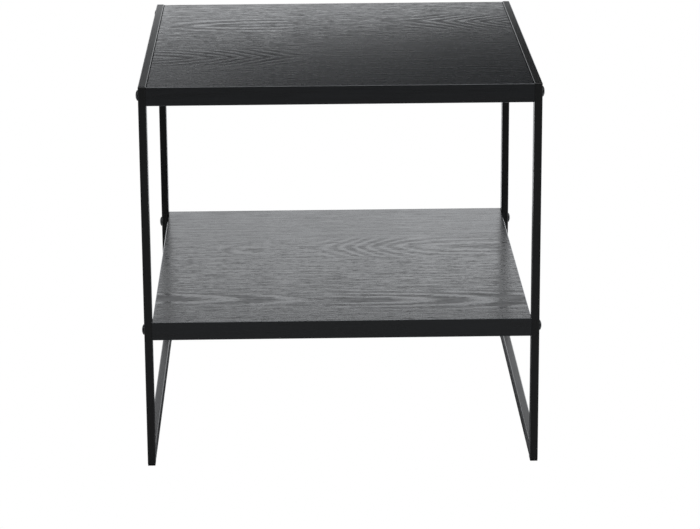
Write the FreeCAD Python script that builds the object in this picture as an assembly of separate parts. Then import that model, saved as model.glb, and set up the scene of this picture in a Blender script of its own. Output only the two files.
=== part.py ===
import FreeCAD, Part
import math
import os

# An end table with one lower shelf, in millimetres, +Z up, front towards -Y.
# The origin is on the floor, under the middle of the table.
#
# Two closed rectangular side frames of steel tube stand left and right. Each frame is four tubes,
# mitred and welded at the corners. A top board and a shelf lie between the frames, end to end with
# the tubes' inner faces, and are held by bolts that pass through the legs into threaded inserts
# in the ends of the boards. Every tube, board layer, edge band and fastener is its own solid.

# ---- Driving dimensions ----

# The side frames
TABLE_WIDTH = 500.0  # X, over the outer faces of the two side frames
FRAME_DEPTH = 540.0  # Y, over the front and rear legs
FRAME_HEIGHT = 494.5  # Z, from the underside of the bottom rail to the top of the top rail
TUBE_WIDTH = 10.0  # X, the narrow side of the tube
TUBE_DEPTH = 20.0  # the wide side of the tube, in the plane of the frame
TUBE_WALL = 1.2
TUBE_CORNER_RADIUS = 1.5  # outside corners of the tube's section
MITRE_CORNER_RADIUS = 2.0  # the ground outer corner of each welded mitre

# The boards
CORE_THICKNESS = 22.0
FOIL_THICKNESS = 0.75
BAND_THICKNESS = 1.0
LONG_BAND_RADIUS = 0.5  # the scraped outer edges of the front and rear bands
END_BAND_RADIUS = 0.9  # the scraped outer edges of the left and right bands
LARGEST_BAND_ROUNDING = 0.9  # share of the band's thickness that its rounding may take
BOARD_SETBACK = 0.5  # the boards' front and rear faces lie this far inside the frames' faces
TOP_BOARD_DROP = 1.0  # from the top of the frames down to the top board's upper face
SHELF_HEIGHT = 191.8  # from the floor up to the shelf's upper face

# The bolts
BOLT_DIAMETER = 6.0
BOLT_LENGTH = 30.0
BOLT_TIP_CHAMFER = 0.7
HEAD_DIAMETER = 13.0
HEAD_HEIGHT = 3.0
HEAD_RIM_HEIGHT = 1.4  # the straight rim under the dome
HEAD_CROWN_LAND = 0.2  # the flat ring around the socket
SOCKET_ACROSS_FLATS = 4.0
SOCKET_DEPTH = 2.0
SOCKET_CHAMFER = 0.3
BOLT_HOLE_CLEARANCE = 0.6  # on the diameter, in the tubes

# The threaded inserts in the ends of the boards
INSERT_DIAMETER = 10.0
INSERT_LENGTH = 15.0
INSERT_SETBACK = 0.3  # below the end face of the board
INSERT_CLEARANCE = 0.1  # on the diameter, in the board
THREAD_CLEARANCE = 0.1  # on the diameter, between bolt and insert
HOLE_END_CLEARANCE = 3.0  # beyond the tip of the bolt and the end of the insert

# The glides under the bottom rails
GLIDE_LENGTH = 18.0
GLIDE_THICKNESS = 1.5
GLIDE_EDGE_RADIUS = 0.3
GLIDE_CORNER_RADIUS = 1.0
GLIDE_SIDE_MARGIN = 0.2  # from each side of the tube to the side of the glide
GLIDE_END_MARGIN = 0.3  # from the end of the frame to the end of the glide
GLIDE_STEM_DIAMETER = 4.5
GLIDE_STEM_LENGTH = 6.0
GLIDE_HOLE_CLEARANCE = 0.2  # on the diameter

# ---- Places and sizes that follow ----

HALF_WIDTH = TABLE_WIDTH / 2
HALF_DEPTH = FRAME_DEPTH / 2
INNER_X = HALF_WIDTH - TUBE_WIDTH  # inner faces of the tubes, and ends of the boards
FRAME_BASE = GLIDE_THICKNESS
FRAME_TOP = FRAME_BASE + FRAME_HEIGHT
BOARD_THICKNESS = CORE_THICKNESS + 2 * FOIL_THICKNESS
TOP_BOARD_SURFACE = FRAME_TOP - TOP_BOARD_DROP
BOARD_HALF_DEPTH = HALF_DEPTH - BOARD_SETBACK
BOLT_Y = HALF_DEPTH - TUBE_DEPTH / 2  # on the middle of the leg
TUBE_HOLE_DIAMETER = BOLT_DIAMETER + BOLT_HOLE_CLEARANCE
INSERT_HOLE_DIAMETER = INSERT_DIAMETER + INSERT_CLEARANCE
INSERT_BORE_DIAMETER = BOLT_DIAMETER + THREAD_CLEARANCE
INSERT_REACH = INSERT_SETBACK + INSERT_LENGTH
BOLT_REACH = BOLT_LENGTH - TUBE_WIDTH
BOARD_HOLE_DEPTH = max(INSERT_REACH, BOLT_REACH) + HOLE_END_CLEARANCE
SOCKET_CORNER_RADIUS = SOCKET_ACROSS_FLATS / math.sqrt(3)
SOCKET_MOUTH_RADIUS = SOCKET_CORNER_RADIUS + SOCKET_CHAMFER
HEAD_CROWN_RADIUS = SOCKET_MOUTH_RADIUS + HEAD_CROWN_LAND
GLIDE_WIDTH = TUBE_WIDTH - 2 * GLIDE_SIDE_MARGIN
GLIDE_Y = HALF_DEPTH - GLIDE_END_MARGIN - GLIDE_LENGTH / 2

X_AXIS = FreeCAD.Vector(1, 0, 0)
Y_AXIS = FreeCAD.Vector(0, 1, 0)
Z_AXIS = FreeCAD.Vector(0, 0, 1)
SIDES = {"left": -1, "right": 1}
ENDS = {"front": -1, "rear": 1}
TOLERANCE = 1e-6


def board_middle(surface):
    """Height of the middle of a board whose upper face is at surface."""
    return surface - BOARD_THICKNESS / 2


BOLT_HEIGHTS = (board_middle(TOP_BOARD_SURFACE), board_middle(SHELF_HEIGHT))


# ---- Side frames ----


def box_between(low, high):
    """A box from its lowest to its highest corner."""
    size = [b - a for a, b in zip(low, high)]
    return Part.makeBox(*size, FreeCAD.Vector(*low))


def edges_along(solid, axis):
    """The edges of a box that run along the axis."""
    return [
        edge
        for edge in solid.Edges
        if abs(abs(edge.Curve.Direction.dot(axis)) - 1) < TOLERANCE
    ]


def rounded_along(box, axis, radius):
    """Fillets the four edges of a box that run along the axis."""
    return box.makeFillet(radius, edges_along(box, axis))


def tube(low, high, axis):
    """A straight hollow tube that fills the box from low to high and is open along the axis."""
    outer = rounded_along(box_between(low, high), axis, TUBE_CORNER_RADIUS)
    wall = FreeCAD.Vector(TUBE_WALL, TUBE_WALL, TUBE_WALL)
    through = axis * (2 * TUBE_WALL)
    inner_low = FreeCAD.Vector(*low) + wall - through
    inner_high = FreeCAD.Vector(*high) - wall + through
    inner = box_between(tuple(inner_low), tuple(inner_high))
    inner_radius = TUBE_CORNER_RADIUS - TUBE_WALL
    if inner_radius > 0:
        inner = rounded_along(inner, axis, inner_radius)
    return outer.cut(inner)


def side_prism(points, x_low, x_high):
    """A prism across the tube's width over a closed outline of (y, z) points."""
    corners = [FreeCAD.Vector(x_low, y, z) for y, z in points]
    outline = Part.makePolygon(corners + corners[:1])
    return Part.Face(outline).extrude(X_AXIS * (x_high - x_low))


def frame_members(x_low, x_high):
    """The four mitred tubes of one side frame, by name."""
    front, rear, base, top = -HALF_DEPTH, HALF_DEPTH, FRAME_BASE, FRAME_TOP
    inner_front, inner_rear = front + TUBE_DEPTH, rear - TUBE_DEPTH
    inner_base, inner_top = base + TUBE_DEPTH, top - TUBE_DEPTH
    # Each member's lowest and highest (y, z) and the axis of its tube, then its mitred outline.
    runs = {
        "front_leg": ((front, base), (inner_front, top), Z_AXIS),
        "rear_leg": ((inner_rear, base), (rear, top), Z_AXIS),
        "top_rail": ((front, inner_top), (rear, top), Y_AXIS),
        "bottom_rail": ((front, base), (rear, inner_base), Y_AXIS),
    }
    outlines = {
        "front_leg": (
            (front, base),
            (front, top),
            (inner_front, inner_top),
            (inner_front, inner_base),
        ),
        "rear_leg": (
            (rear, base),
            (rear, top),
            (inner_rear, inner_top),
            (inner_rear, inner_base),
        ),
        "top_rail": (
            (front, top),
            (rear, top),
            (inner_rear, inner_top),
            (inner_front, inner_top),
        ),
        "bottom_rail": (
            (front, base),
            (rear, base),
            (inner_rear, inner_base),
            (inner_front, inner_base),
        ),
    }
    envelope = rounded_along(
        box_between((x_low, front, base), (x_high, rear, top)),
        X_AXIS,
        MITRE_CORNER_RADIUS,
    )
    members = {}
    for name, (low, high, axis) in runs.items():
        whole = tube((x_low, *low), (x_high, *high), axis)
        mitred = side_prism(outlines[name], x_low, x_high)
        members[name] = whole.common(mitred).common(envelope)
    return members


def cross_holes(diameter, x_low, x_high):
    """Cylinders across the table where the bolts of both boards pass through one side frame."""
    holes = []
    for y in (-BOLT_Y, BOLT_Y):
        for z in BOLT_HEIGHTS:
            start = FreeCAD.Vector(x_low - TUBE_WALL, y, z)
            length = x_high - x_low + 2 * TUBE_WALL
            holes.append(Part.makeCylinder(diameter / 2, length, start, X_AXIS))
    return holes


def glide_holes(x_middle):
    """Cylinders where the glides' stems enter the underside of one side frame."""
    radius = (GLIDE_STEM_DIAMETER + GLIDE_HOLE_CLEARANCE) / 2
    return [
        Part.makeCylinder(
            radius, 3 * TUBE_WALL, FreeCAD.Vector(x_middle, y, FRAME_BASE - TUBE_WALL)
        )
        for y in (-GLIDE_Y, GLIDE_Y)
    ]


def side_frame(side):
    """The four tubes of the left or the right frame, with their bolt and glide holes."""
    x_middle = SIDES[side] * (HALF_WIDTH - TUBE_WIDTH / 2)
    x_low = x_middle - TUBE_WIDTH / 2
    x_high = x_middle + TUBE_WIDTH / 2
    cutters = cross_holes(TUBE_HOLE_DIAMETER, x_low, x_high) + glide_holes(x_middle)
    return {
        f"{side}_{name}": member.cut(cutters)
        for name, member in frame_members(x_low, x_high).items()
    }


# ---- Boards ----


def end_holes(z):
    """The four blind holes in the ends of a board for its inserts and bolts."""
    holes = []
    for sign in SIDES.values():
        for y in (-BOLT_Y, BOLT_Y):
            start = FreeCAD.Vector(sign * INNER_X, y, z)
            holes.append(
                Part.makeCylinder(
                    INSERT_HOLE_DIAMETER / 2, BOARD_HOLE_DEPTH, start, X_AXIS * -sign
                )
            )
    return holes


def edge_band(low, high, run, outward, radius):
    """A band that fills the box from low to high, with its two outward edges along run rounded."""
    band = box_between(low, high)
    middle = band.CenterOfMass.dot(outward)
    outer_edges = [
        edge
        for edge in edges_along(band, run)
        if edge.CenterOfMass.dot(outward) > middle
    ]
    return band.makeFillet(
        min(radius, LARGEST_BAND_ROUNDING * BAND_THICKNESS), outer_edges
    )


def board(name, surface):
    """The layers and edge bands of one board whose upper face is at surface."""
    bottom = surface - BOARD_THICKNESS
    core_x = INNER_X - BAND_THICKNESS
    core_y = BOARD_HALF_DEPTH - BAND_THICKNESS
    core_low = bottom + FOIL_THICKNESS
    core_high = surface - FOIL_THICKNESS
    holes = end_holes(board_middle(surface))
    core = box_between((-core_x, -core_y, core_low), (core_x, core_y, core_high))
    pieces = {
        "core": core.cut(holes),
        "upper_foil": box_between(
            (-core_x, -core_y, core_high), (core_x, core_y, surface)
        ),
        "lower_foil": box_between(
            (-core_x, -core_y, bottom), (core_x, core_y, core_low)
        ),
    }
    for end, sign in ENDS.items():
        y_low, y_high = sorted((sign * core_y, sign * BOARD_HALF_DEPTH))
        pieces[f"{end}_band"] = edge_band(
            (-INNER_X, y_low, bottom),
            (INNER_X, y_high, surface),
            X_AXIS,
            Y_AXIS * sign,
            LONG_BAND_RADIUS,
        )
    for side, sign in SIDES.items():
        x_low, x_high = sorted((sign * core_x, sign * INNER_X))
        band = edge_band(
            (x_low, -core_y, bottom),
            (x_high, core_y, surface),
            Y_AXIS,
            X_AXIS * sign,
            END_BAND_RADIUS,
        )
        pieces[f"{side}_band"] = band.cut(holes)
    return {f"{name}_{piece}": solid for piece, solid in pieces.items()}


# ---- Fasteners ----


def bolt_profile():
    """Half of a bolt's outline as a face in the XZ plane, head down at z = 0 to -HEAD_HEIGHT.

    The dome is an arc about a point on the axis, from the rim up to the flat crown.
    """
    head = HEAD_DIAMETER / 2
    flat = HEAD_CROWN_RADIUS
    shank = BOLT_DIAMETER / 2
    centre_z = (head**2 + HEAD_RIM_HEIGHT**2 - flat**2 - HEAD_HEIGHT**2) / (
        2 * (HEAD_HEIGHT - HEAD_RIM_HEIGHT)
    )
    dome_radius = math.hypot(head, centre_z + HEAD_RIM_HEIGHT)
    middle_angle = (math.asin(head / dome_radius) + math.asin(flat / dome_radius)) / 2
    rim = FreeCAD.Vector(head, 0, -HEAD_RIM_HEIGHT)
    middle = FreeCAD.Vector(
        dome_radius * math.sin(middle_angle),
        0,
        centre_z - dome_radius * math.cos(middle_angle),
    )
    crown_edge = FreeCAD.Vector(flat, 0, -HEAD_HEIGHT)
    arc = Part.Arc(rim, middle, crown_edge).toShape()
    outline = [
        crown_edge,
        FreeCAD.Vector(0, 0, -HEAD_HEIGHT),
        FreeCAD.Vector(0, 0, BOLT_LENGTH),
        FreeCAD.Vector(shank - BOLT_TIP_CHAMFER, 0, BOLT_LENGTH),
        FreeCAD.Vector(shank, 0, BOLT_LENGTH - BOLT_TIP_CHAMFER),
        FreeCAD.Vector(shank, 0, 0),
        FreeCAD.Vector(head, 0, 0),
        rim,
    ]
    lines = [
        Part.LineSegment(a, b).toShape() for a, b in zip(outline, outline[1:])
    ]
    return Part.Face(Part.Wire(lines + [arc]))


def hexagon(corner_radius, z):
    """A hexagon face about the Z axis at height z."""
    points = [
        FreeCAD.Vector(
            corner_radius * math.cos(math.radians(60 * k)),
            corner_radius * math.sin(math.radians(60 * k)),
            z,
        )
        for k in range(7)
    ]
    return Part.Face(Part.makePolygon(points))


def bolt():
    """A dome-head bolt with a hexagon socket, its axis on Z and its shank upwards."""
    body = bolt_profile().revolve(FreeCAD.Vector(0, 0, 0), Z_AXIS, 360)
    crown = FreeCAD.Vector(0, 0, -HEAD_HEIGHT)
    socket = hexagon(SOCKET_CORNER_RADIUS, crown.z).extrude(Z_AXIS * SOCKET_DEPTH)
    lead_in = Part.makeCone(
        SOCKET_MOUTH_RADIUS, SOCKET_CORNER_RADIUS, SOCKET_CHAMFER, crown
    )
    return body.cut([socket, lead_in])


def insert():
    """A threaded insert with its mouth at z = 0, drawn with a plain bore and a plain outside."""
    outer = Part.makeCylinder(INSERT_DIAMETER / 2, INSERT_LENGTH)
    bore = Part.makeCylinder(INSERT_BORE_DIAMETER / 2, INSERT_LENGTH)
    return outer.cut(bore)


def at_bolt_places(shape, x_seat, z):
    """Four copies of a shape drawn along +Z, turned to point inwards at a board's bolt places."""
    copies = []
    for sign in SIDES.values():
        turn = FreeCAD.Rotation(Z_AXIS, X_AXIS * -sign)
        for y in (-BOLT_Y, BOLT_Y):
            copy = shape.copy()
            copy.Placement = FreeCAD.Placement(
                FreeCAD.Vector(sign * x_seat, y, z), turn
            )
            copies.append(copy)
    return Part.makeCompound(copies)


def fasteners(name, surface):
    """The bolts and the inserts of one board."""
    z = board_middle(surface)
    return {
        f"{name}_bolts": at_bolt_places(bolt(), HALF_WIDTH, z),
        f"{name}_inserts": at_bolt_places(insert(), INNER_X - INSERT_SETBACK, z),
    }


# ---- Glides ----


def glide(x, y):
    """A moulded glide: a rounded plate on the floor and a stem up into the bottom rail."""
    plate = box_between(
        (x - GLIDE_WIDTH / 2, y - GLIDE_LENGTH / 2, 0),
        (x + GLIDE_WIDTH / 2, y + GLIDE_LENGTH / 2, GLIDE_THICKNESS),
    )
    plate = rounded_along(plate, Z_AXIS, GLIDE_CORNER_RADIUS)
    rim = [edge for edge in plate.Edges if edge.BoundBox.ZMax < GLIDE_THICKNESS / 2]
    plate = plate.makeFillet(GLIDE_EDGE_RADIUS, rim)
    stem = Part.makeCylinder(
        GLIDE_STEM_DIAMETER / 2,
        GLIDE_STEM_LENGTH,
        FreeCAD.Vector(x, y, GLIDE_THICKNESS),
    )
    return plate.fuse(stem).removeSplitter()


def glides():
    """The four glides, by name."""
    x_middle = HALF_WIDTH - TUBE_WIDTH / 2
    return {
        f"{end}_{side}_glide": glide(sign_x * x_middle, sign_y * GLIDE_Y)
        for side, sign_x in SIDES.items()
        for end, sign_y in ENDS.items()
    }


# ---- The whole table ----


def table():
    """Every node of the table, by name."""
    nodes = {}
    for side in SIDES:
        nodes.update(side_frame(side))
    for name, surface in (("top_board", TOP_BOARD_SURFACE), ("shelf", SHELF_HEIGHT)):
        nodes.update(board(name, surface))
        nodes.update(fasteners(name, surface))
    nodes.update(glides())
    return nodes


def main():
    """Writes one STEP file for each node."""
    os.makedirs("parts", exist_ok=True)
    for name, shape in table().items():
        if not shape.isValid():
            raise ValueError(f"{name} isn't a valid shape")
        shape.exportStep(f"parts/{name}.step")
        box = shape.BoundBox
        print(
            f"{name:26s} solids {len(shape.Solids)}  volume {shape.Volume / 1000:9.3f} cm3"
            f"  x {box.XMin:8.2f} {box.XMax:8.2f}  y {box.YMin:8.2f} {box.YMax:8.2f}"
            f"  z {box.ZMin:7.2f} {box.ZMax:7.2f}"
        )


main()
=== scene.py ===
"""The dressed end table with shelf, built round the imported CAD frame.

Two closed side frames of black powder coated steel tube carry a top board and a shelf, both
faced with a black ash grain foil and edged with black ABS band. Lengths are in metres, and
fields whose names end in _mm are in millimetres. The left is -X, the front is -Y, the floor
is z = 0, and every piece rides on the one body, "root".
"""

import logging
import math
from dataclasses import dataclass
from enum import Enum
from functools import cache

import bpy
import numpy as np
from mathutils import Matrix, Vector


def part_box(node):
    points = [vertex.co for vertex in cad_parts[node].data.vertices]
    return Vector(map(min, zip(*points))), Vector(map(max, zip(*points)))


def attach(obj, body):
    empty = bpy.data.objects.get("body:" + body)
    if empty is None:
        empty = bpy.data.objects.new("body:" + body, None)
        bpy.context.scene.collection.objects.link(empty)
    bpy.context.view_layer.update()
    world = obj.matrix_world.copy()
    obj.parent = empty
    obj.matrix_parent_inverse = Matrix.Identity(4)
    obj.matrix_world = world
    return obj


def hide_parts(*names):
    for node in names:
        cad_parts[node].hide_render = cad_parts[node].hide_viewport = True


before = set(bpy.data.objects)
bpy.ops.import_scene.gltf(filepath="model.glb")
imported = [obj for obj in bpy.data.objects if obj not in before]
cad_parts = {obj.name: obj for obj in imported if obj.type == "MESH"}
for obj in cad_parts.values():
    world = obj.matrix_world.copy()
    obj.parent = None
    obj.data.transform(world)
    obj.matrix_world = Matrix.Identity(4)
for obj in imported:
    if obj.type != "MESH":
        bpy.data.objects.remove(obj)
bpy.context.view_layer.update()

LOG = logging.getLogger("end_table")
MM = 0.001
BODY = "root"
SHARP_ANGLE = math.radians(35)

# The mean of (0.5 + 0.5 cos)^f over a turn is near 0.5 / f^LINE_MEAN_POWER.
LINE_MEAN_POWER = 0.6
# A mask fades out between these shares of half its area's size.
FADE_FROM, FADE_TO = 0.7, 1.2
# Blender's noise, stretched from these values to the whole of 0 to 1.
NOISE_LOW, NOISE_HIGH = 0.3, 0.7
# The largest part of a normal where an edge's rounding begins to show, and where it is whole.
EDGE_FROM, EDGE_TO = 0.97, 0.85
# The slope of a screw thread's flanks, and how much of its foot is cut off flat.
FLANK_SLOPE, ROOT_CUT = 1.6, 0.3


class Place(Enum):
    """A place on the table, whose value is the sign of its direction from the middle."""

    @property
    def word(self) -> str:
        """Gives the place's name in the names of nodes."""
        return self.name.lower()


class Side(Place):
    """The two sides of the table, with the sign of their X."""

    LEFT = -1
    RIGHT = 1


class End(Place):
    """The two ends of a side frame, with the sign of their Y."""

    FRONT = -1
    REAR = 1


# ---- colour and nodes

# What feeds a socket: an output socket, or a node, from its first output.
Feed = bpy.types.Node | bpy.types.NodeSocket


def linear(colour: str) -> tuple[float, float, float, float]:
    """Turns an sRGB hex colour into the linear RGBA that a shader socket takes.

    Args:
        colour: six hex digits after a hash, such as "#1B1C1E".

    Returns:
        Red, green and blue from 0 to 1 in linear light, and an alpha of 1.
    """
    parts = [int(colour[i : i + 2], 16) / 255 for i in (1, 3, 5)]
    lin = [c / 12.92 if c <= 0.04045 else ((c + 0.055) / 1.055) ** 2.4 for c in parts]
    return (*lin, 1.0)


def add_node(
    tree: bpy.types.NodeTree, kind: str, inputs: dict | None = None, **settings: object
) -> bpy.types.Node:
    """Adds one node to a tree, with its settings and its links.

    Args:
        tree: the node tree of a material or of the world.
        kind: the node's type without its "ShaderNode", such as "MapRange".
        inputs: by socket name or number, a plain value or what feeds the socket.
        settings: the node's own attributes, by name, which are set before its inputs.

    Returns:
        The new node.
    """
    node = tree.nodes.new(f"ShaderNode{kind}")
    for name, value in settings.items():
        setattr(node, name, value)
    for name, value in (inputs or {}).items():
        if isinstance(value, bpy.types.Node):
            value = value.outputs[0]
        if isinstance(value, bpy.types.NodeSocket):
            tree.links.new(value, node.inputs[name])
        else:
            node.inputs[name].default_value = value
    return node


def calc(
    tree: bpy.types.NodeTree, operation: str, *values: Feed | float, clamp: bool = False
) -> bpy.types.Node:
    """Adds one math node.

    Args:
        tree: the material's node tree.
        operation: what the node does, such as "MULTIPLY_ADD".
        values: its inputs, in order.
        clamp: True to cut its output off at 0 and 1.

    Returns:
        The new node.
    """
    inputs = dict(enumerate(values))
    return add_node(tree, "Math", inputs, operation=operation, use_clamp=clamp)


def new_material(name: str) -> tuple[bpy.types.Material, bpy.types.NodeTree]:
    """Makes an empty node material.

    Args:
        name: the material's name, which says what it is made of.

    Returns:
        The material and its empty node tree.
    """
    material = bpy.data.materials.new(name)
    material.use_nodes = True
    material.node_tree.nodes.clear()
    return material, material.node_tree


def area_mask(
    tree: bpy.types.NodeTree, spans: tuple[tuple[Feed, float, float], ...]
) -> bpy.types.Node:
    """Adds a mask that is 1 inside an area and fades smoothly to 0 over its border.

    Args:
        tree: the material's node tree.
        spans: for each direction what gives the place along it, then the middle and half
            the width of the area there.

    Returns:
        The node whose output is the mask.
    """
    mask = None
    for place, middle, half in spans:
        away = calc(tree, "ABSOLUTE", calc(tree, "SUBTRACT", place, middle))
        limits = {"From Min": FADE_FROM * half, "From Max": FADE_TO * half}
        inputs = {"Value": away, **limits, "To Min": 1.0, "To Max": 0.0}
        inside = add_node(tree, "MapRange", inputs, interpolation_type="SMOOTHSTEP")
        if mask:
            inside = calc(tree, "MULTIPLY", mask, inside)
        mask = inside
    return mask


def add_surface(
    tree: bpy.types.NodeTree, level: Feed, relief: float, relief_mm: float, inputs: dict
) -> None:
    """Adds the bumps, the shader and the output that end a finish.

    Args:
        tree: the material's node tree.
        level: what gives the height of the bumps, from 0 to 1.
        relief: how strongly the bumps turn the light.
        relief_mm: the height of a bump.
        inputs: the shader's other inputs, by name.
    """
    height = {"Strength": relief, "Distance": relief_mm * MM, "Height": level}
    inputs = {**inputs, "Normal": add_node(tree, "Bump", height), "IOR": 1.5}
    surface = add_node(tree, "BsdfPrincipled", inputs)
    add_node(tree, "OutputMaterial", {"Surface": surface})


# ---- finishes


@dataclass(frozen=True)
class Cathedral:
    """One group of nested grain arches, where the saw met the rings of the log flat.

    area_mm is the centre of the area that the group fills, then half of its size along X
    and Y. Its middle line rises by lean for each millimetre of X. The saw's distance from
    the heart of the log is least_mm at one end of the group, and grows by depth_mm towards
    the other, fastest at turn_mm, over about reach_mm either side; the arches point to the
    right where depth_mm is positive. roundness is 1 for arches with a straight V and 2 for
    round ones. Light lines are first_mm from the heart and each ring_mm after that, and
    they are the thinner the higher fineness is. strength is how strong they are.
    """

    area_mm: tuple[float, float, float, float]
    turn_mm: float
    reach_mm: float
    depth_mm: float
    least_mm: float = 0.0
    ring_mm: float = 16.0
    first_mm: float = 0.0
    roundness: float = 1.4
    lean: float = 0.0
    fineness: float = 1.0
    strength: float = 1.0

    def lines(self, tree: bpy.types.NodeTree, x: Feed, y: Feed) -> bpy.types.Node:
        """Adds the group's ring lines, up to its strength, and 0 outside its area.

        The distance from the heart of the log is (|y - c - lean (x - m)|^p + w^p)^(1/p), with
        (m, c) the area's centre and p the roundness. There w = least + |depth| (1 + t) / 2,
        with t the tanh of (x - turn) / reach, whose sign is changed where depth is negative.
        With C the cosine of that distance less first_mm, one turn for each ring, the lines
        are strength (2 (0.5 + 0.5 C)^fineness - 1 / fineness^0.6): C where fineness is 1.

        Args:
            tree: the material's node tree.
            x: what gives the place along the grain, in millimetres.
            y: what gives the place across the grain, in millimetres.

        Returns:
            The node whose output is the height of the lines.
        """
        centre_x, centre_y, half_x, half_y = self.area_mm
        along = calc(tree, "SUBTRACT", x, self.turn_mm)
        pace = math.copysign(1 / self.reach_mm, self.depth_mm)
        along = calc(tree, "MULTIPLY", along, pace)
        along = calc(tree, "TANH", along)
        half = abs(self.depth_mm) / 2
        depth = calc(tree, "MULTIPLY_ADD", along, half, self.least_mm + half)
        depth = calc(tree, "POWER", depth, self.roundness)
        aside = calc(tree, "MULTIPLY_ADD", x, -self.lean, y)
        aside = calc(tree, "SUBTRACT", aside, centre_y - self.lean * centre_x)
        aside = calc(tree, "ABSOLUTE", aside)
        away = calc(tree, "POWER", aside, self.roundness)
        away = calc(tree, "ADD", away, depth)
        away = calc(tree, "POWER", away, 1 / self.roundness)
        away = calc(tree, "SUBTRACT", away, self.first_mm)
        turns = calc(tree, "MULTIPLY", away, 2 * math.pi / self.ring_mm)
        lines = calc(tree, "COSINE", turns)
        lines = calc(tree, "MULTIPLY_ADD", lines, 0.5, 0.5, clamp=True)
        lines = calc(tree, "POWER", lines, self.fineness)
        foot = -self.strength / self.fineness**LINE_MEAN_POWER
        lines = calc(tree, "MULTIPLY_ADD", lines, 2 * self.strength, foot)
        area = area_mask(tree, ((x, centre_x, half_x), (aside, 0.0, half_y)))
        return calc(tree, "MULTIPLY", lines, area)


@dataclass(frozen=True)
class Wave:
    """Noise in a foil, with waves along_mm long with the grain and across_mm across it.

    Each step of detail adds waves of half the size.
    """

    along_mm: float
    across_mm: float
    detail: float


@dataclass(frozen=True)
class GrainFoil:
    """Black ash grain melamine foil, printed, and pressed on a plate with open pores.

    The eye gets a satin black face with a sharp but dim mirror at a low angle, cut by
    duller lines along the rings and by short dashes, where the pores are pressed in. The
    dashes are fewer in the calm area, given as its centre and half of its size.

    The log's own waviness moves the rings aside, by swing_mm in long slow swings and by
    wobble_mm in short ones. Streaks run along the grain, and pores are short dashes that
    crowd in bundles. Both are drawn a few times coarser than real ones, so that they show
    from where the whole table is seen.
    """

    name: str
    arches: tuple[Cathedral, ...]
    seed: float
    calm_mm: tuple[float, float, float, float]
    slot: str = "grain_foil"
    light: str = "#1D1F22"
    dark: str = "#0E0F10"
    gloss: float = 0.16
    pore_gloss: float = 0.5
    relief_mm: float = 0.05
    land: float = 0.6
    ring_share: float = 0.33
    streak_share: float = 0.6
    pore_share: float = 1.1
    calm_share: float = 0.3
    pore_gain: float = 1.8
    swing_mm: float = 14.0
    wobble_mm: float = 7.0
    swings: Wave = Wave(170.0, 55.0, 1.0)
    wobbles: Wave = Wave(30.0, 12.0, 2.0)
    streaks: Wave = Wave(110.0, 7.0, 2.0)
    bundles: Wave = Wave(32.0, 5.0, 1.0)
    dashes: Wave = Wave(8.0, 2.4, 1.0)

    @cache
    def material(self) -> bpy.types.Material:
        """Builds the foil's shader once; the face's level sets its colour, gloss and relief.

        Returns:
            The material.
        """
        material, tree = new_material(self.name)
        place = add_node(tree, "TexCoord")
        to_mm = (1 / MM, 1 / MM, 1 / MM)
        point = add_node(tree, "Mapping", {"Vector": place.outputs["Object"], "Scale": to_mm})
        level = self.level(tree, point)
        colours = {"A": linear(self.dark), "B": linear(self.light)}
        colour = add_node(tree, "Mix", {"Factor": level, **colours}, data_type="RGBA")
        limits = {"To Min": self.pore_gloss, "To Max": self.gloss}
        gloss = add_node(tree, "MapRange", {"Value": level, **limits})
        paint = {"Base Color": colour.outputs["Result"], "Roughness": gloss}
        add_surface(tree, level, 1.0, self.relief_mm, paint)
        return material

    def level(self, tree: bpy.types.NodeTree, point: bpy.types.Node) -> bpy.types.Node:
        """Adds the face's level, from 0 in a pore to 1 on the smoothest land.

        It is the land's level, with the pores, the streaks and the rings' lines added, each
        times its share. The pores break the lines up, because the lines' share is
        ring_share (1 + pores).

        Args:
            tree: the material's node tree.
            point: the node that gives the place in millimetres.

        Returns:
            The node whose output is the level.
        """
        split = add_node(tree, "SeparateXYZ", {0: point})
        x, y = split.outputs["X"], split.outputs["Y"]
        swings = self.noise(tree, point, self.swings)
        wobbles = self.noise(tree, point, self.wobbles)
        across = calc(tree, "MULTIPLY_ADD", swings, self.swing_mm, y)
        across = calc(tree, "MULTIPLY_ADD", wobbles, self.wobble_mm, across)
        dashes = self.noise(tree, point, self.dashes)
        bundles = self.noise(tree, point, self.bundles)
        pores = calc(tree, "ADD", dashes, bundles)
        pores = calc(tree, "MULTIPLY", pores, self.pore_gain)
        calm_x, calm_y, half_x, half_y = self.calm_mm
        calm = area_mask(tree, ((x, calm_x, half_x), (y, calm_y, half_y)))
        limits = {"To Min": self.pore_share, "To Max": self.calm_share}
        share = add_node(tree, "MapRange", {"Value": calm, **limits})
        level = calc(tree, "MULTIPLY_ADD", pores, share, self.land)
        streaks = self.noise(tree, point, self.streaks)
        level = calc(tree, "MULTIPLY_ADD", streaks, self.streak_share, level)
        crowd = calc(tree, "MULTIPLY_ADD", pores, self.ring_share, self.ring_share)
        for arch in self.arches:
            lines = arch.lines(tree, x, across)
            level = calc(tree, "MULTIPLY_ADD", lines, crowd, level)
        return calc(tree, "MULTIPLY", level, 1.0, clamp=True)

    def noise(
        self, tree: bpy.types.NodeTree, point: bpy.types.Node, wave: Wave
    ) -> bpy.types.Node:
        """Adds noise from -0.5 to 0.5, the same through the foil's thickness.

        Args:
            tree: the material's node tree.
            point: the node that gives the place in millimetres.
            wave: the size of the noise's waves.

        Returns:
            The node whose output is the noise.
        """
        scale = (1 / wave.along_mm, 1 / wave.across_mm, 0)
        moved = (self.seed, 2 * self.seed, 0)
        there = add_node(tree, "Mapping", {"Vector": point, "Scale": scale, "Location": moved})
        look = {"Scale": 1.0, "Detail": wave.detail, "Roughness": 0.5}
        texture = add_node(tree, "TexNoise", {"Vector": there, **look})
        return calc(tree, "SUBTRACT", texture, 0.5)


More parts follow.
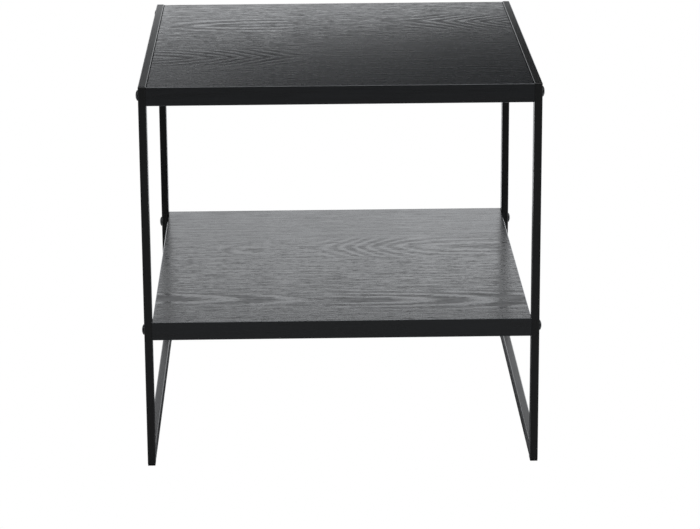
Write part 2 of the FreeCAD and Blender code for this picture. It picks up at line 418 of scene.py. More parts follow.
@dataclass(frozen=True)
class SolidFinish:
    """A plain coloured finish with a fine grain of its own, such as a coat or a moulding.

    The eye gets one colour, slightly uneven, and a gloss broken by bumps of grain_mm. Where
    given, the rounded edges are painted a paler highlight colour, and take rim_gloss.
    """

    name: str
    slot: str
    colour: str
    dark: str
    gloss: float
    grain_mm: tuple[float, float, float]
    gloss_spread: float = 0.05
    relief_mm: float = 0.01
    relief: float = 0.3
    metallic: float = 0.0
    specular: float = 0.5
    rim: str | None = None
    rim_gloss: float | None = None

    @cache
    def material(self) -> bpy.types.Material:
        """Builds the finish once: noise of the grain's size mixes its colour and gloss.

        Returns:
            The material.
        """
        material, tree = new_material(self.name)
        place = add_node(tree, "TexCoord")
        scale = tuple(1 / MM / size for size in self.grain_mm)
        point = add_node(tree, "Mapping", {"Vector": place.outputs["Object"], "Scale": scale})
        look = {"Scale": 1.0, "Detail": 3.0, "Roughness": 0.55}
        grain = add_node(tree, "TexNoise", {"Vector": point, **look})
        limits = {"From Min": NOISE_LOW, "From Max": NOISE_HIGH}
        level = add_node(tree, "MapRange", {"Value": grain, **limits})
        colours = {"A": linear(self.dark), "B": linear(self.colour)}
        colour = add_node(tree, "Mix", {"Factor": level, **colours}, data_type="RGBA")
        low, high = self.gloss - self.gloss_spread, self.gloss + self.gloss_spread
        gloss = add_node(tree, "MapRange", {"Value": level, "To Min": low, "To Max": high})
        colour, gloss = colour.outputs["Result"], gloss.outputs[0]
        if self.rim or self.rim_gloss:
            edge = self.roundness(tree, place.outputs["Normal"])
        # Painted highlight: the rounded edges take a paler colour that stands in for the light they
        # catch.
        if self.rim:
            inputs = {"Factor": edge, "A": colour, "B": linear(self.rim)}
            colour = add_node(tree, "Mix", inputs, data_type="RGBA").outputs["Result"]
        if self.rim_gloss:
            inputs = {"Factor": edge, "A": gloss, "B": self.rim_gloss}
            gloss = add_node(tree, "Mix", inputs).outputs["Result"]
        paint = {"Base Color": colour, "Roughness": gloss}
        shine = {"Metallic": self.metallic, "Specular IOR Level": self.specular}
        add_surface(tree, level, self.relief, self.relief_mm, {**paint, **shine})
        return material

    @staticmethod
    def roundness(tree: bpy.types.NodeTree, normal: bpy.types.NodeSocket) -> bpy.types.Node:
        """Adds a mask that is 1 where the face turns between two of the table's directions.

        It is the largest of |x|, |y| and |z| of the normal, stretched so that EDGE_FROM
        gives 0 and EDGE_TO gives 1.

        Args:
            tree: the material's node tree.
            normal: the socket that gives the face's normal.

        Returns:
            The node whose output is the mask.
        """
        sides = add_node(tree, "VectorMath", {0: normal}, operation="ABSOLUTE")
        x, y, z = add_node(tree, "SeparateXYZ", {0: sides}).outputs
        widest = calc(tree, "MAXIMUM", x, y)
        widest = calc(tree, "MAXIMUM", widest, z)
        limits = {"From Min": EDGE_FROM, "From Max": EDGE_TO}
        return add_node(tree, "MapRange", {"Value": widest, **limits})


Finish = GrainFoil | SolidFinish

# Polyester powder, sprayed on steel and baked: satin black with a faint orange peel.
POWDER_COAT = SolidFinish(
    name="black_powder_coated_steel",
    slot="frame_coat",
    colour="#1A1A19",
    dark="#131312",
    gloss=0.4,
    gloss_spread=0.04,
    grain_mm=(0.9, 0.9, 0.9),
    relief_mm=0.02,
    specular=0.26,
    rim_gloss=0.14,
)
# ABS band, extruded and trimmed: satin black with draw lines along the edge. The rounded
# edges of the front and rear bands are painted paler: a painted highlight.
EDGE_BAND = SolidFinish(
    name="black_abs_edge_band",
    slot="edge_band",
    colour="#18191B",
    dark="#08090A",
    gloss=0.3,
    gloss_spread=0.06,
    grain_mm=(60.0, 60.0, 4.0),
    relief_mm=0.03,
    relief=1.0,
    specular=0.38,
    # Painted highlight: a pale grey on the rounded edges, for the light they catch.
    rim="#909294",
)
# The same band on the top's ends, rougher and painted darker: painted shade in the rail groove.
PAINTED_SHADE_BAND = SolidFinish(
    name="black_dull_abs_edge_band",
    slot="edge_band",
    # Painted shade: darker than the band elsewhere, for the groove beside the rails.
    colour="#0C0C0D",
    dark="#080809",
    gloss=0.7,
    grain_mm=(60.0, 60.0, 4.0),
    specular=0.1,
)
# The same band on the shelf's ends, which show: it is buffed to a gloss.
END_BAND = SolidFinish(
    name="black_buffed_abs_edge_band",
    slot="edge_band",
    colour="#1A1B1D",
    dark="#101112",
    gloss=0.15,
    gloss_spread=0.03,
    grain_mm=(60.0, 60.0, 4.0),
)
# Particle board, pressed wood chips in resin: pale brown chips, dull.
CHIP_CORE = SolidFinish(
    name="particle_board",
    slot="board_core",
    colour="#B08A5C",
    dark="#6E5134",
    gloss=0.85,
    grain_mm=(3.0, 3.0, 1.2),
    relief_mm=0.2,
    relief=0.8,
)
# Steel bolts, zinc plated and passivated black: darker and smoother than the coat.
BOLT_STEEL = SolidFinish(
    name="black_zinc_plated_steel",
    slot="bolt_steel",
    colour="#18181A",
    dark="#0E0E0F",
    gloss=0.3,
    gloss_spread=0.06,
    grain_mm=(0.6, 0.6, 0.6),
    specular=0.2,
)
# Zinc alloy inserts, die cast: bright grey with a slightly frosted skin.
INSERT_ALLOY = SolidFinish(
    name="die_cast_zinc_alloy",
    slot="insert_alloy",
    colour="#B9BCC0",
    dark="#8E9196",
    gloss=0.38,
    gloss_spread=0.08,
    grain_mm=(0.8, 0.8, 0.8),
    metallic=1.0,
)
# Polyethylene glides, injection moulded: dull black.
GLIDE_PLASTIC = SolidFinish(
    name="black_moulded_polyethylene",
    slot="glide_plastic",
    colour="#0F0F10",
    dark="#0A0A0B",
    gloss=0.55,
    grain_mm=(0.5, 0.5, 0.5),
)
# The top's foil: one group of arches at its left front that points to the right, one at its
# right back that points to the left, and a faint one at its left back.
TOP_FOIL = GrainFoil(
    name="black_ash_grain_foil_top",
    arches=(
        Cathedral(
            area_mm=(-155, -95, 98, 48),
            turn_mm=-120,
            reach_mm=90,
            depth_mm=135,
            roundness=1.2,
            fineness=1.5,
            strength=1.3,
        ),
        Cathedral(
            area_mm=(180, 128, 84, 48),
            turn_mm=190,
            reach_mm=80,
            depth_mm=-120,
            ring_mm=14.5,
            roundness=1.2,
            lean=-0.1,
            fineness=1.5,
            strength=0.85,
        ),
        Cathedral(
            area_mm=(-140, 116, 90, 44),
            turn_mm=-190,
            reach_mm=50,
            depth_mm=-40,
            ring_mm=20,
            lean=0.03,
            fineness=1.6,
            strength=0.6,
        ),
    ),
    seed=3.1,
    calm_mm=(160, -140, 200, 170),
    light="#191B1E",
    dark="#08090A",
    relief_mm=0.08,
    streak_share=0.36,
    pore_share=0.6,
    calm_share=0.2,
)
# The shelf's foil: two groups that point to the left in its back half, and two long ones
# that point to the right along its front.
SHELF_FOIL = GrainFoil(
    name="black_ash_grain_foil_shelf",
    arches=(
        Cathedral(
            area_mm=(105, 68, 135, 48),
            turn_mm=35,
            reach_mm=76,
            depth_mm=-130,
            least_mm=40,
            ring_mm=15.5,
            first_mm=6,
            roundness=1.3,
            fineness=2.0,
            strength=0.8,
        ),
        Cathedral(
            area_mm=(-130, 60, 34, 24),
            turn_mm=-150,
            reach_mm=20,
            depth_mm=-40,
            least_mm=12,
            ring_mm=24,
            strength=0.7,
        ),
        Cathedral(
            area_mm=(-150, -170, 110, 26),
            turn_mm=-100,
            reach_mm=112,
            depth_mm=45,
            least_mm=20.6,
            ring_mm=17.1,
            roundness=1.6,
            lean=-0.1,
            fineness=2.4,
            strength=1.2,
        ),
        Cathedral(
            area_mm=(120, -185, 140, 42),
            turn_mm=150,
            reach_mm=130,
            depth_mm=40,
            least_mm=7.7,
            ring_mm=12.7,
            first_mm=8.3,
            roundness=2.0,
            lean=-0.04,
            fineness=2.0,
            strength=1.3,
        ),
    ),
    seed=7.7,
    calm_mm=(-40, 240, 340, 150),
    gloss=0.14,
    pore_gloss=0.44,
    land=0.52,
    ring_share=0.4,
    streak_share=0.8,
    pore_share=0.85,
    calm_share=0.42,
)
# The foil of both undersides, which only shows from below.
LOWER_FOIL = GrainFoil(
    name="black_ash_grain_foil_lower",
    arches=(
        Cathedral(area_mm=(-60, -110, 190, 50), turn_mm=40, reach_mm=160, depth_mm=110),
        Cathedral(area_mm=(80, 120, 180, 50), turn_mm=-90, reach_mm=150, depth_mm=-120),
    ),
    seed=12.3,
    calm_mm=(0, 0, 120, 60),
)


# ---- surfaces


def turn_angles(count: int) -> np.ndarray:
    """Gives count angles, evenly round one turn from 0."""
    return np.arange(count) * (2 * math.pi / count)


def arc(
    centre: tuple[float, float], radius: float, start_deg: float, end_deg: float, steps: int = 5
) -> np.ndarray:
    """Gives points of an arc in a profile: centre + radius (cos a, sin a), start to end."""
    angle = np.radians(np.linspace(start_deg, end_deg, steps))
    return np.column_stack((centre[0] + radius * np.cos(angle), centre[1] + radius * np.sin(angle)))


def lathe(radii: np.ndarray, heights: np.ndarray, angles: np.ndarray) -> np.ndarray:
    """Turns a profile about the Z axis: each point is (r cos a, r sin a, z).

    Args:
        radii: one radius for all, or one for each ring, or rings x points where it changes
            round the ring.
        heights: the height of each ring.
        angles: the angle of each point of a ring.

    Returns:
        Points as an array of rings x points x 3.
    """
    shape = (len(heights), len(angles))
    radius = np.broadcast_to(np.reshape(radii, (shape[0], -1)), shape)
    height = np.broadcast_to(np.reshape(heights, (shape[0], 1)), shape)
    return np.stack((radius * np.cos(angles), radius * np.sin(angles), height), -1)


def hexagon_radius(to_flat: float, angles: np.ndarray) -> np.ndarray:
    """Gives a hexagon's radius, f / cos(a mod 60 - 30), with f to a flat and a corner at 0."""
    step = math.pi / 3
    return to_flat / np.cos(np.mod(angles, step) - step / 2)


def screw_thread(heights: np.ndarray, angles: np.ndarray, pitch: float) -> np.ndarray:
    """Gives a right-hand thread's height over its root, 0 to 1 with flats, rings x points."""
    phase = np.mod(heights[:, None] / pitch - angles / (2 * math.pi), 1.0)
    return np.clip(FLANK_SLOPE * (1 - np.abs(2 * phase - 1)) - ROOT_CUT, 0.0, 1.0)


def ring_quads(rows: int, cols: int, hollow: bool = False) -> list[list[int]]:
    """Lists the quads that join each ring of points to the next, all the way round.

    Each has the points j and j + 1 of one ring, then j + 1 and j of the next.

    Args:
        rows: how many rings there are.
        cols: how many points each ring has.
        hollow: True where the last ring meets the first.

    Returns:
        The numbers of each quad's four points, ring after ring.
    """
    row = np.arange(rows if hollow else rows - 1)[:, None] * cols
    above = (row + cols) % (rows * cols)
    col = np.arange(cols)
    after = (col + 1) % cols
    corners = np.broadcast_arrays(row + col, row + after, above + after, above + col)
    return np.stack(corners, -1).reshape(-1, 4).tolist()


def rings_mesh(name: str, rings: np.ndarray, hollow: bool = False) -> bpy.types.Mesh:
    """Joins rings of points into one closed mesh.

    Quads join each ring to the next, and unless the mesh is hollow, triangles join each end
    ring to its middle. Rings that climb along +Z and turn from +X to +Y face outwards.

    Args:
        name: the mesh's name.
        rings: points as rings x points x 3, in metres.
        hollow: True for a shape whose last ring meets the first.

    Returns:
        The mesh, shaded smooth but for its sharp edges.
    """
    rows, cols = rings.shape[:2]
    faces = ring_quads(rows, cols, hollow)
    points = rings.reshape(-1, 3)
    if not hollow:
        points = np.vstack((points, rings[0].mean(0), rings[-1].mean(0)))
        first, last = np.full(cols, rows * cols), np.full(cols, rows * cols + 1)
        col = np.arange(cols)
        after = (col + 1) % cols
        top = (rows - 1) * cols
        faces += np.column_stack((first, after, col)).tolist()
        faces += np.column_stack((last, top + col, top + after)).tolist()
    mesh = bpy.data.meshes.new(name)
    mesh.from_pydata(points.tolist(), [], faces)
    mesh.polygons.foreach_set("use_smooth", np.ones(len(mesh.polygons), dtype=bool))
    mesh.set_sharp_from_angle(angle=SHARP_ANGLE)
    return mesh


def place_in_scene(name: str, data: bpy.types.ID) -> bpy.types.Object:
    """Makes an object and links it to the scene.

    Args:
        name: the object's name.
        data: its mesh, light or camera.

    Returns:
        The new object.
    """
    placed = bpy.data.objects.new(name, data)
    bpy.context.scene.collection.objects.link(placed)
    return placed


def add_piece(mesh: bpy.types.Mesh, finish: Finish, node: str) -> None:
    """Puts a new piece in the table, in the place of a CAD node.

    Args:
        mesh: the piece's mesh in the table's frame, in metres; the piece takes its name.
        finish: the finish, which names the record's slot that it stands for.
        node: the CAD node that this piece, or it and its like, stand for.
    """
    mesh.materials.append(finish.material())
    piece = place_in_scene(mesh.name, mesh)
    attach(piece, BODY)
    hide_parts(node)
    LOG.info("built %s in the place of %s", piece.name, node)


def dress(node: str, finish: Finish) -> None:
    """Puts a finish on a CAD node, whose shape stays as packed.

    Args:
        node: the node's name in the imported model.
        finish: the finish.
    """
    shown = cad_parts[node]
    shown.data.materials.clear()
    shown.data.materials.append(finish.material())
    LOG.info("dressed %s with %s", node, finish.name)


# ---- the table's sub-assemblies


@dataclass
class SideFrame:
    """One closed side frame: two legs and two rails of rectangular tube, welded and coated."""

    side: Side
    members: tuple[str, ...] = ("front_leg", "rear_leg", "top_rail", "bottom_rail")

    def build(self) -> None:
        """Dresses the four tubes."""
        for member in self.members:
            dress(f"{self.side.word}_{member}", POWDER_COAT)


@dataclass
class Board:
    """A particle board panel with a foil on both faces and a band on each of its edges."""

    name: str
    upper: GrainFoil
    ends: SolidFinish

    def build(self) -> None:
        """Dresses the core, the two foils and the four bands."""
        dress(f"{self.name}_core", CHIP_CORE)
        dress(f"{self.name}_upper_foil", self.upper)
        dress(f"{self.name}_lower_foil", LOWER_FOIL)
        for end in End:
            dress(f"{self.name}_{end.word}_band", EDGE_BAND)
        for side in Side:
            dress(f"{self.name}_{side.word}_band", self.ends)


@dataclass(frozen=True)
class DomeBolt:
    """A dome-head bolt with a hexagon socket, drawn with its seat at z = 0 and its tip up.

    Sizes are in millimetres, and diameters are given as radii. The thread fades out over
    runout_mm at either end. The inner ring of the socket's floor is floor_share as wide as
    the hexagon.
    """

    length_mm: float = 30.0
    shank_mm: float = 3.0
    thread_depth_mm: float = 0.55
    pitch_mm: float = 1.0
    runout_mm: float = 1.0
    tip_mm: float = 0.7
    head_mm: float = 6.5
    head_height_mm: float = 3.0
    rim_mm: float = 1.4
    land_mm: float = 2.81
    mouth_mm: float = 2.61
    chamfer_mm: float = 0.3
    socket_flat_mm: float = 2.0
    socket_depth_mm: float = 2.0
    floor_share: float = 0.5
    edge_mm: float = 0.15
    rings_a_pitch: int = 6
    points: int = 36

    def shank_radius(self, heights: np.ndarray, angles: np.ndarray) -> np.ndarray:
        """Gives the radius of the threaded shank.

        The thread's depth rises from 0, and falls to 0 again, over the runouts.

        Args:
            heights: the height of each ring.
            angles: the angle of each point of a ring.

        Returns:
            An array of rings x points.
        """
        last = self.length_mm - self.tip_mm
        begin = np.clip((heights - self.runout_mm) / self.runout_mm, 0, 1)
        end = np.clip((last - heights) / self.runout_mm, 0, 1)
        depth = self.thread_depth_mm * (begin * end)[:, None]
        return self.shank_mm - depth * (1 - screw_thread(heights, angles, self.pitch_mm))

    def dome(self, steps: int = 10) -> np.ndarray:
        """Gives radius and height along the dome, part of a circle from the land to the rim.

        The circle's middle is on the axis, as far from the rim at radius wide and height
        high as from the land at radius flat and height low.

        Args:
            steps: how many points the dome's profile has.

        Returns:
            An array of points x 2.
        """
        wide, high = self.head_mm, -self.rim_mm
        flat, low = self.land_mm, -self.head_height_mm
        middle = (wide**2 + high**2 - flat**2 - low**2) / (2 * (high - low))
        radius = math.hypot(wide, high - middle)
        angle = np.linspace(math.asin(flat / radius), math.asin(wide / radius), steps)
        return np.column_stack((radius * np.sin(angle), middle - radius * np.cos(angle)))

    def rings(self) -> np.ndarray:
        """Gives rings from the socket's floor over the head and up the shank to the tip.

        Returns:
            Points in millimetres, as rings x points x 3.
        """
        angles = turn_angles(self.points)
        crown = -self.head_height_mm
        floor = crown + self.socket_depth_mm
        hexagon = hexagon_radius(self.socket_flat_mm, angles)
        socket = lathe(
            np.stack((self.floor_share * hexagon, hexagon, hexagon)),
            np.array((floor, floor, crown + self.chamfer_mm)),
            angles,
        )
        edge = self.edge_mm
        head = np.vstack(
            (
                (self.mouth_mm, crown),
                self.dome(),
                arc((self.head_mm - edge, -edge), edge, 0, 90),
                arc((self.shank_mm + edge, edge), edge, 270, 180),
            )
        )
        last = self.length_mm - self.tip_mm
        heights = np.arange(2 * edge, last, self.pitch_mm / self.rings_a_pitch)
        tip = np.array(((self.shank_mm, last), (self.shank_mm - self.tip_mm, self.length_mm)))
        return np.concatenate(
            (
                socket,
                lathe(*head.T, angles),
                lathe(self.shank_radius(heights, angles), heights, angles),
                lathe(*tip.T, angles),
            )
        )


@dataclass(frozen=True)
class ThreadedInsert:
    """A cast insert with a coarse outer thread, a hexagon mouth and the bolt's own thread.

    Sizes are in millimetres, and diameters are given as radii. Its mouth is at z = 0, which
    is bolt_seat_mm further in than the bolt's seat. The outer thread has its full depth from
    twice collar_mm on.
    """

    bolt: DomeBolt
    bolt_seat_mm: float
    length_mm: float = 15.0
    crest_mm: float = 5.0
    thread_depth_mm: float = 1.0
    pitch_mm: float = 3.0
    collar_mm: float = 1.2
    hexagon_flat_mm: float = 3.1
    hexagon_depth_mm: float = 4.0
    clearance_mm: float = 0.05
    edge_mm: float = 0.3
    rings_a_pitch: int = 12

    def rings(self) -> np.ndarray:
        """Gives rings up the coarse outer thread, over the far end and back down the bore.

        The bore follows the bolt's shank at the same height, clearance_mm outside it.

        Returns:
            Points in millimetres, as rings x points x 3, whose last ring meets the first.
        """
        bolt = self.bolt
        angles = turn_angles(bolt.points)
        step = self.pitch_mm / self.rings_a_pitch
        up = np.arange(self.edge_mm, self.length_mm - self.edge_mm, step)
        depth = self.thread_depth_mm * np.clip(up / self.collar_mm - 1, 0, 1)[:, None]
        outside = self.crest_mm - depth * (1 - screw_thread(up, angles, self.pitch_mm))
        step = bolt.pitch_mm / bolt.rings_a_pitch
        down = np.arange(self.length_mm, self.hexagon_depth_mm, -step)
        bore = bolt.shank_radius(down + self.bolt_seat_mm, angles) + self.clearance_mm
        hexagon = hexagon_radius(self.hexagon_flat_mm, angles)
        mouth = np.array((self.hexagon_depth_mm, 0.0))
        return np.concatenate(
            (
                lathe(self.crest_mm - self.edge_mm, np.array([0.0]), angles),
                lathe(outside, up, angles),
                lathe(outside[-1:] - self.edge_mm, np.array([self.length_mm]), angles),
                lathe(bore, down, angles),
                lathe(np.stack((hexagon, hexagon)), mouth, angles),
            )
        )


@dataclass
class Fasteners:
    """The four bolts of a board and the four threaded inserts that they go into."""

    board: str
    bolt: DomeBolt = DomeBolt()

    def build(self) -> None:
        """Builds each bolt and its insert where the CAD has them, pointing inwards."""
        low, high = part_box(f"{self.board}_bolts")
        seat = high.x - self.bolt.head_height_mm * MM
        depth = high.y - self.bolt.head_mm * MM
        height = (low.z + high.z) / 2
        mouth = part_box(f"{self.board}_inserts")[1].x
        insert = ThreadedInsert(self.bolt, (seat - mouth) / MM)
        kinds = (
            ("bolt", self.bolt.rings() * MM, False, seat, BOLT_STEEL),
            ("insert", insert.rings() * MM, True, mouth, INSERT_ALLOY),
        )
        for side in Side:
            for end in End:
                for kind, shape, hollow, reach, finish in kinds:
                    name = f"{self.board}_{kind}_{end.word}_{side.word}"
                    place = (side.value * reach, end.value * depth, height)
                    mesh = rings_mesh(name, self.inwards(shape, side, place), hollow)
                    add_piece(mesh, finish, f"{self.board}_{kind}s")

    @staticmethod
    def inwards(rings: np.ndarray, side: Side, place: tuple[float, float, float]) -> np.ndarray:
        """Turns rings about Z to lie about X, pointing into the table, and moves them there.

        A point (x, y, z) goes to place + (-s z, s y, x), with s the sign of the side.

        Args:
            rings: points as rings x points x 3.
            side: the side of the table that the rings are on.
            place: where their origin goes.

        Returns:
            The moved points, in the same order.
        """
        sign = side.value
        x, y, z = np.moveaxis(rings, -1, 0)
        return np.stack((-sign * z, sign * y, x), -1) + place


@dataclass(frozen=True)
class Glide:
    """A moulded glide: a flat sole with rounded edges, and a barbed stem in the rail's hole.

    Sizes are in millimetres. The sole's length and width come from the frame. A barb's cone
    takes cone_share of its height, and the step back out the rest. The stem's tip is rounded
    through tip_deg, up to a small flat.
    """

    node: str
    sole_mm: float = 1.5
    corner_mm: float = 1.0
    edge_mm: float = 0.3
    root_mm: float = 0.2
    stem_mm: float = 2.25
    stem_waist_mm: float = 1.85
    tip_mm: float = 0.8
    tip_deg: float = 80.0
    barbs: int = 3
    cone_share: float = 0.98
    corner_points: int = 7

    def outline(self, half: np.ndarray, inset: np.ndarray) -> np.ndarray:
        """Gives rings of a rectangle with round corners, each inset by its own amount.

        Args:
            half: half of the sole's size in X and Y.
            inset: how far each ring lies inside the sole's outline.

        Returns:
            An array of rings x points x 2.
        """
        quarter = np.linspace(0, math.pi / 2, self.corner_points)
        angles = np.concatenate([quarter + k * math.pi / 2 for k in range(4)])
        turned = np.column_stack((np.cos(angles), np.sin(angles)))
        middle = np.repeat(np.array(((1, 1), (-1, 1), (-1, -1), (1, -1))), len(quarter), axis=0)
        radius = (self.corner_mm - inset)[:, None, None]
        return (half - self.corner_mm) * middle + radius * turned

    def stem_profile(self, height: float) -> np.ndarray:
        """Gives radius and height up the stem, whose barbs are cones that open downwards.

        Args:
            height: the height of the stem's tip over the sole's underside.

        Returns:
            An array of points x 2.
        """
        waist, tip = self.stem_waist_mm, self.tip_mm
        barb = (height - self.sole_mm - self.root_mm - tip) / self.barbs
        wide = np.arange(self.barbs) * barb + self.sole_mm + self.root_mm
        heights = np.column_stack((wide, wide + self.cone_share * barb)).ravel()
        cones = np.column_stack((np.tile((self.stem_mm, waist), self.barbs), heights))
        return np.vstack((cones, arc((waist - tip, height - tip), tip, 0, self.tip_deg)))

    def rings(self) -> np.ndarray:
        """Gives rings from the sole up the stem, in the place of the CAD node.

        Returns:
            Points in metres, as rings x points x 3.
        """
        low, high = (np.array(corner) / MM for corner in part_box(self.node))
        edge = arc((0, self.edge_mm), self.edge_mm, 270, 360)
        inset = self.edge_mm - edge[:, 0]
        plate = self.outline((high[:2] - low[:2]) / 2, np.append(inset, 0.0))
        levels = np.append(edge[:, 1], self.sole_mm)[:, None, None]
        plate = np.concatenate((plate, np.broadcast_to(levels, (*plate.shape[:2], 1))), -1)
        angles = np.arctan2(plate[0, :, 1], plate[0, :, 0])
        root = self.stem_waist_mm + self.root_mm
        stem = np.vstack(((root, self.sole_mm), self.stem_profile(high[2])))
        middle = np.append((low[:2] + high[:2]) / 2, low[2])
        return (np.concatenate((plate, lathe(*stem.T, angles))) + middle) * MM

    def build(self) -> None:
        """Builds the glide in the place of its CAD node."""
        mesh = rings_mesh(f"{self.node}_moulding", self.rings())
        add_piece(mesh, GLIDE_PLASTIC, self.node)


# ---- the studio


@dataclass(frozen=True)
class Card:
    """A flat white card or softbox that shines on one side and isn't seen itself.

    brightness is how bright it looks in a mirror, where white paper is 1. The tilt turns the
    card in its own plane, clockwise as seen by what it shines on.
    """

    name: str
    centre: tuple[float, float, float]
    size: tuple[float, float]
    facing: tuple[float, float, float]
    brightness: float
    tilt_deg: float = 0.0
    colour: str = "#FAFCFF"

    def build(self) -> None:
        """Adds the card as a rectangular area light that looks along facing.

        Its power is pi times its area times its brightness. Its X axis is level, or along X
        where it looks up or down, and its Z axis points away from what it shines on.
        """
        data = bpy.data.lights.new(self.name, "AREA")
        data.shape = "RECTANGLE"
        data.size, data.size_y = self.size
        data.energy = math.pi * self.size[0] * self.size[1] * self.brightness
        data.color = linear(self.colour)[:3]
        light = place_in_scene(self.name, data)
        away = -np.array(self.facing, float)
        away /= np.linalg.norm(away)
        looks_level = abs(away[2]) < 0.9
        upright = np.array((0.0, 0.0, 1.0) if looks_level else (0.0, 1.0, 0.0))
        across = np.cross(upright, away)
        across /= np.linalg.norm(across)
        axes = np.column_stack((across, np.cross(away, across), away))
        turn = Matrix.Rotation(math.radians(self.tilt_deg), 4, "Z")
        place = Matrix.Translation(self.centre) @ Matrix(axes.tolist()).to_4x4()
        light.matrix_world = place @ turn
        light.visible_camera = False


TO_FRONT, TO_LEFT, TO_RIGHT, DOWN = (0, -1, 0), (-1, 0, 0), (1, 0, 0), (0, 0, -1)


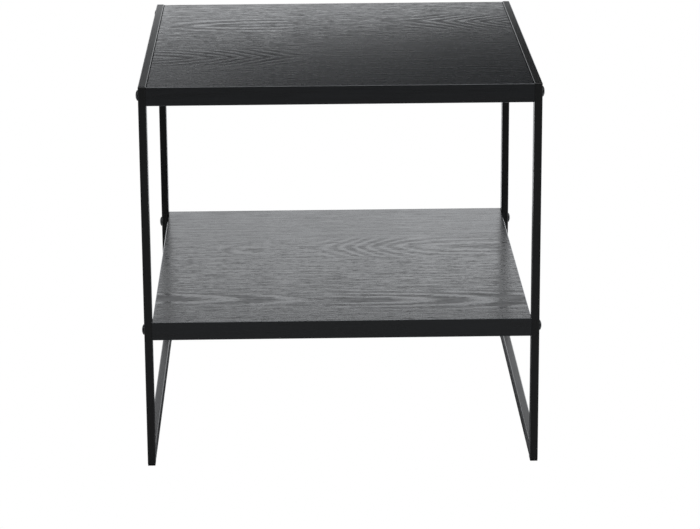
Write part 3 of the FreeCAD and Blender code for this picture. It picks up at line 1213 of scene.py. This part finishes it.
@dataclass(frozen=True)
class Studio:
    """The camera, the white sweep, the floor that the table reflects, and the lights.

    The camera sees the sweep and not the floor. Behind the table stands a row of low cards,
    brighter to the right, which the shelf and the bottom rails reflect. Over it lies a strip
    that falls and gets dimmer to the right, which the top reflects; its pieces' tilted ends
    meet, so that no gap shows between them.
    """

    camera_at: tuple[float, float, float] = (-0.05709, -3.62291, 1.23866)
    pitch_deg: float = 16.183
    yaw_deg: float = 1.154
    roll_deg: float = 0.344
    lens_mm: float = 143.013
    sensor_mm: float = 36.0
    far: float = 60.0
    sweep_radius: float = 15.0
    sweep_height: float = 9.0
    sweep_flat: float = 0.7
    sweep_hole: float = 0.02
    sweep_steps: int = 13
    sweep_points: int = 96
    floor_half: float = 5.0
    floor_colour: str = "#E8E9EA"
    world_colour: str = "#D8DCE2"
    world_strength: float = 0.03
    cards: tuple[Card, ...] = (
        Card("rear_left_card", (-0.5, 0.45, 0.215), (0.8, 0.43), TO_FRONT, 1.26),
        Card("rear_middle_card", (0.0, 0.45, 0.21), (0.2, 0.42), TO_FRONT, 1.34),
        Card("rear_right_card", (0.5, 0.45, 0.205), (0.8, 0.41), TO_FRONT, 1.44),
        Card("rear_strip_1", (-0.425, 0.45, 0.5627), (0.75287, 0.106), TO_FRONT, 1.18, 5.0),
        Card("rear_strip_2", (0.04, 0.45, 0.522), (0.18069, 0.106), TO_FRONT, 1.12, 5.0),
        Card("rear_strip_3", (0.265, 0.45, 0.5023), (0.27103, 0.106), TO_FRONT, 1.06, 5.0),
        Card("left_card", (-0.55, 0.45, 0.85), (0.75, 0.2), TO_FRONT, 0.66),
        Card("left_softbox", (-1.6, 0.0, 0.7), (1.6, 1.2), TO_RIGHT, 0.5),
        Card("right_softbox", (1.6, 0.0, 0.7), (1.6, 1.2), TO_LEFT, 0.5),
        Card("overhead_softbox", (0.0, 0.3, 2.6), (2.4, 2.4), DOWN, 0.5),
        Card("front_softbox", (0.6, -1.3, 2.4), (3.0, 1.8), DOWN, 2.7),
    )

    def build(self) -> None:
        """Adds the camera, the sweep, the floor, the lights and the world."""
        self.add_camera()
        self.add_sweep()
        self.add_floor()
        for card in self.cards:
            card.build()
        self.set_world()
        bpy.context.scene.view_settings.view_transform = "Standard"

    def add_camera(self) -> None:
        """Adds the camera, turned by yaw, pitch down and roll about its own line of sight."""
        pitch, yaw, roll = np.radians((self.pitch_deg, self.yaw_deg, self.roll_deg))
        ahead = np.array((np.sin(yaw) * np.cos(pitch), np.cos(yaw) * np.cos(pitch), -np.sin(pitch)))
        level = np.array((np.cos(yaw), -np.sin(yaw), 0.0))
        down = np.cross(ahead, level)
        right = np.cos(roll) * level + np.sin(roll) * down
        axes = np.column_stack((right, np.cross(right, ahead), -ahead))
        data = bpy.data.cameras.new("camera")
        data.lens, data.sensor_width, data.clip_end = self.lens_mm, self.sensor_mm, self.far
        camera = place_in_scene("camera", data)
        turn = Matrix(axes.tolist()).to_4x4()
        camera.matrix_world = Matrix.Translation(self.camera_at) @ turn
        bpy.context.scene.camera = camera

    def add_sweep(self) -> None:
        """Adds the white sweep: a flat disc that turns up into a wall all round.

        The disc reaches to sweep_flat of the radius, and the wall climbs from there on a
        quarter of an ellipse. Only the camera sees it.
        """
        flat = self.sweep_flat
        rise = np.radians(np.linspace(0.0, 90.0, self.sweep_steps))
        reach = np.append((self.sweep_hole, flat), flat + (1 - flat) * np.sin(rise))
        height = np.append((0.0, 0.0), (1 - np.cos(rise)) * self.sweep_height)
        points = lathe(reach * self.sweep_radius, height, turn_angles(self.sweep_points))[::-1]
        rows, cols = points.shape[:2]
        middle = ((rows - 1) * cols + np.arange(cols)).tolist()
        mesh = bpy.data.meshes.new("white_sweep")
        mesh.from_pydata(points.reshape(-1, 3).tolist(), [], [*ring_quads(rows, cols), middle])
        material, tree = new_material("white_paper_sweep")
        glow = add_node(tree, "Emission", {"Color": (1, 1, 1, 1), "Strength": 1.0})
        add_node(tree, "OutputMaterial", {"Surface": glow})
        sweep = self.add_stage(mesh, material)
        for ray in ("diffuse", "glossy", "transmission", "volume_scatter", "shadow"):
            setattr(sweep, f"visible_{ray}", False)

    def add_floor(self) -> None:
        """Adds the pale floor that lights the table from below and shows in its gloss."""
        half = self.floor_half
        mesh = bpy.data.meshes.new("studio_floor")
        corners = [(-half, -half, 0), (half, -half, 0), (half, half, 0), (-half, half, 0)]
        mesh.from_pydata(corners, [], [(0, 1, 2, 3)])
        material, tree = new_material("pale_studio_floor")
        colour = linear(self.floor_colour)
        paint = add_node(tree, "BsdfDiffuse", {"Color": colour, "Roughness": 1.0})
        add_node(tree, "OutputMaterial", {"Surface": paint})
        self.add_stage(mesh, material).visible_camera = False

    @staticmethod
    def add_stage(mesh: bpy.types.Mesh, material: bpy.types.Material) -> bpy.types.Object:
        """Adds a mesh that belongs to the studio and not to the table.

        Args:
            mesh: the mesh, whose name the object takes.
            material: its material.

        Returns:
            The new object.
        """
        mesh.materials.append(material)
        stage = place_in_scene(mesh.name, mesh)
        return stage

    def set_world(self) -> None:
        """Sets a dim even world, which fills the shadows."""
        world = bpy.data.worlds.new("studio")
        bpy.context.scene.world = world
        world.use_nodes = True
        tree = world.node_tree
        tree.nodes.clear()
        light = {"Color": linear(self.world_colour), "Strength": self.world_strength}
        sky = add_node(tree, "Background", light)
        add_node(tree, "OutputWorld", {"Surface": sky})


def main() -> None:
    """Builds the table's sub-assemblies in order, then the studio."""
    logging.basicConfig(level=logging.INFO, format="%(name)s: %(message)s")
    for side in Side:
        SideFrame(side).build()
    for board in (
        # The top's end bands carry painted shade for the groove beside the rails.
        Board("top_board", TOP_FOIL, PAINTED_SHADE_BAND),
        Board("shelf", SHELF_FOIL, END_BAND),
    ):
        board.build()
        Fasteners(board.name).build()
    for side in Side:
        for end in End:
            Glide(f"{end.word}_{side.word}_glide").build()
    Studio().build()


if __name__ == "__main__":
    main()
